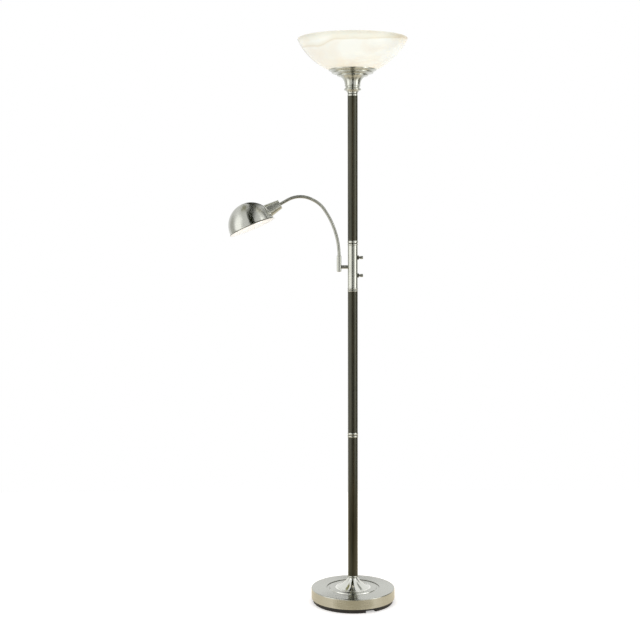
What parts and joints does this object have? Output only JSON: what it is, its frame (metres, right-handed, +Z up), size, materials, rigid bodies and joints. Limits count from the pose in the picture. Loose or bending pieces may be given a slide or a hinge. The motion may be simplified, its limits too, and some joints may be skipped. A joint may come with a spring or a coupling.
{
  "type": "floor lamp",
  "caption": "Torchiere floor lamp: glass uplight bowl on a jointed wooden pole, weighted round metal base, and a domed reading light on a flexible side arm.",
  "frame": {"origin": "on the floor, on the pole's axis", "axes": "+Z up along the pole; -Y is the front; the reading light hangs out towards -X and the knobs point to +X"},
  "size_m": [0.5683, 0.346, 1.804],
  "materials": {
    "satin_nickel": "satin nickel plate on steel",
    "spun_nickel": "spun steel, satin nickel plate",
    "dark_walnut": "dark walnut stain under satin lacquer",
    "alabaster_glass": "white alabaster-swirl glass",
    "frosted_glass": "frosted",
    "black_abs": "moulded",
    "iron": "as cast",
    "zinc_steel": "zinc plated",
    "brass_shaft": "turned",
    "bulb_aluminium": "pressed",
    "porcelain": "glazed porcelain",
    "seat_rubber": "moulded",
    "nylon": "moulded"
  },
  "bodies": {
    "stand": {"foot_pan": "black_abs", "pan_screws": "zinc_steel", "cord_bushing": "seat_rubber", "base_weight": "iron", "base_washer": "zinc_steel", "base_nut": "zinc_steel", "base_rod": "zinc_steel", "base_shell": "spun_nickel", "base_collar": "satin_nickel", "lower_pole": "dark_walnut", "lower_pole_inserts": "zinc_steel", "pole_coupling": "satin_nickel", "coupling_nipple": "zinc_steel", "middle_pole": "dark_walnut", "middle_pole_inserts": "zinc_steel", "lower_collar": "satin_nickel", "lower_collar_nipple": "zinc_steel", "switch_tube": "satin_nickel", "upper_collar": "satin_nickel", "upper_collar_nipple": "zinc_steel", "upper_pole": "dark_walnut", "upper_pole_inserts": "zinc_steel", "upper_switch": "black_abs", "lower_switch": "black_abs", "upper_switch_nut": "satin_nickel", "lower_switch_nut": "satin_nickel", "arm_stub": "satin_nickel", "stub_nut": "zinc_steel", "arm_sleeve": "satin_nickel", "sleeve_cap": "satin_nickel", "swivel_bush": "nylon", "swivel_screw": "zinc_steel", "neck_ring": "satin_nickel", "neck_vase": "satin_nickel", "trumpet": "satin_nickel", "trumpet_nut": "zinc_steel", "top_nipple": "zinc_steel", "shade_holder": "satin_nickel", "bowl_seat": "seat_rubber", "glass_bowl": "alabaster_glass", "bowl_clamp": "satin_nickel", "torchiere_socket": "porcelain", "torchiere_bulb_cap": "bulb_aluminium", "torchiere_bulb": "frosted_glass"},
    "knob_high": {"upper_knob": "satin_nickel", "upper_knob_shaft": "brass_shaft"},
    "knob_low": {"lower_knob": "satin_nickel", "lower_knob_shaft": "brass_shaft"},
    "arm_root": {"gooseneck_root": "satin_nickel"},
    "arm_lower": {"gooseneck_lower": "satin_nickel"},
    "arm_upper": {"gooseneck_upper": "satin_nickel"},
    "head": {"gooseneck_tip": "satin_nickel", "gooseneck_nut": "zinc_steel", "socket_cup": "satin_nickel", "cup_ring": "satin_nickel", "reading_shade": "satin_nickel", "reading_socket": "porcelain", "reading_bulb_cap": "bulb_aluminium", "reading_bulb": "frosted_glass"}
  },
  "joints": [
    {"name": "knob_high_turn", "type": "hinge", "parent": "stand", "child": "knob_high", "pos_m": [0.0265, 0, 1.1176], "axis": [1, 0, 0], "continuous": true},
    {"name": "knob_low_turn", "type": "hinge", "parent": "stand", "child": "knob_low", "pos_m": [0.0265, 0, 1.0605], "axis": [1, 0, 0], "continuous": true},
    {"name": "arm_swivel", "type": "hinge", "parent": "stand", "child": "arm_root", "pos_m": [-0.0435, 0, 1.1086], "axis": [0, 0, 1], "range_deg": [-120, 120]},
    {"name": "neck_bend_low", "type": "hinge", "parent": "arm_root", "child": "arm_lower", "pos_m": [-0.05407, 0, 1.19475], "axis": [0, 1, 0], "range_deg": [-20, 20]},
    {"name": "neck_bend_mid", "type": "hinge", "parent": "arm_lower", "child": "arm_upper", "pos_m": [-0.08663, 0, 1.26506], "axis": [0, 1, 0], "range_deg": [-20, 20]},
    {"name": "neck_bend_high", "type": "hinge", "parent": "arm_upper", "child": "head", "pos_m": [-0.12226, 0, 1.29879], "axis": [0, 1, 0], "range_deg": [-20, 20]}
  ]
}
